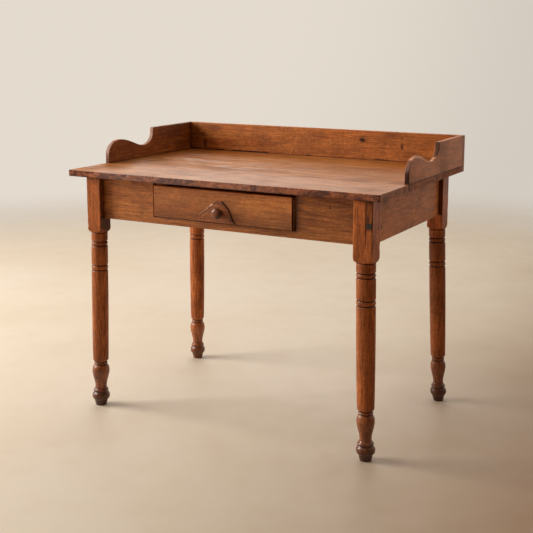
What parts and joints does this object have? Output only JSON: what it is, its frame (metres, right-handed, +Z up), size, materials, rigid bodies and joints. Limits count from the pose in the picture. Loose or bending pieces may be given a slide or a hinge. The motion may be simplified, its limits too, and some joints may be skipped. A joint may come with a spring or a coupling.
{
  "type": "writing table",
  "caption": "Country pine writing table on turned legs, with one shallow drawer in its apron and a three-sided gallery with scroll-cut ends.",
  "frame": {"origin": "on the floor, under the middle of the table's outline", "axes": "+X to the user's right along the top, +Y to the back, +Z up; the drawer opens towards -Y"},
  "size_m": [1.02, 0.682, 0.84],
  "materials": {
    "top_pine": "aged waxed pine, worn pale on top",
    "apron_pine": "aged stained pine, satin",
    "leg_pine": "aged stained pine, satin",
    "gallery_pine": "aged stained pine, satin",
    "drawer_pine": "aged stained pine, satin",
    "inner_pine": "bare oxidised pine",
    "plate_pine": "thin worn wood",
    "knob_wood": "turned, polished by hands",
    "dark_plug": "dark end grain",
    "iron": "rusted cut iron"
  },
  "bodies": {
    "table": {"leg_front_left": "leg_pine", "leg_front_right": "leg_pine", "leg_back_left": "leg_pine", "leg_back_right": "leg_pine", "post_plug": "dark_plug", "apron_front": "apron_pine", "apron_back": "apron_pine", "apron_left": "apron_pine", "apron_right": "apron_pine", "top_board_front": "top_pine", "top_board_middle": "top_pine", "top_board_rear": "top_pine", "gallery_back": "gallery_pine", "gallery_left": "gallery_pine", "gallery_right": "gallery_pine", "gallery_nails": "iron", "drawer_runner_left": "inner_pine", "drawer_runner_right": "inner_pine", "drawer_guide_left": "inner_pine", "drawer_guide_right": "inner_pine", "drawer_kicker_left": "inner_pine", "drawer_kicker_right": "inner_pine", "drawer_stop_left": "inner_pine", "drawer_stop_right": "inner_pine", "top_glue_blocks": "inner_pine"},
    "drawer": {"drawer_front": "drawer_pine", "drawer_side_left": "inner_pine", "drawer_side_right": "inner_pine", "drawer_back": "inner_pine", "drawer_bottom": "inner_pine", "drawer_bottom_nails": "iron", "drawer_nails": "iron", "knob_plate": "plate_pine", "plate_nails": "iron", "drawer_knob": "knob_wood"}
  },
  "joints": [
    {"name": "drawer_slide", "type": "slide", "parent": "table", "child": "drawer", "axis": [-0.0152, -0.9999, 0], "range_m": [0, 0.29]}
  ]
}
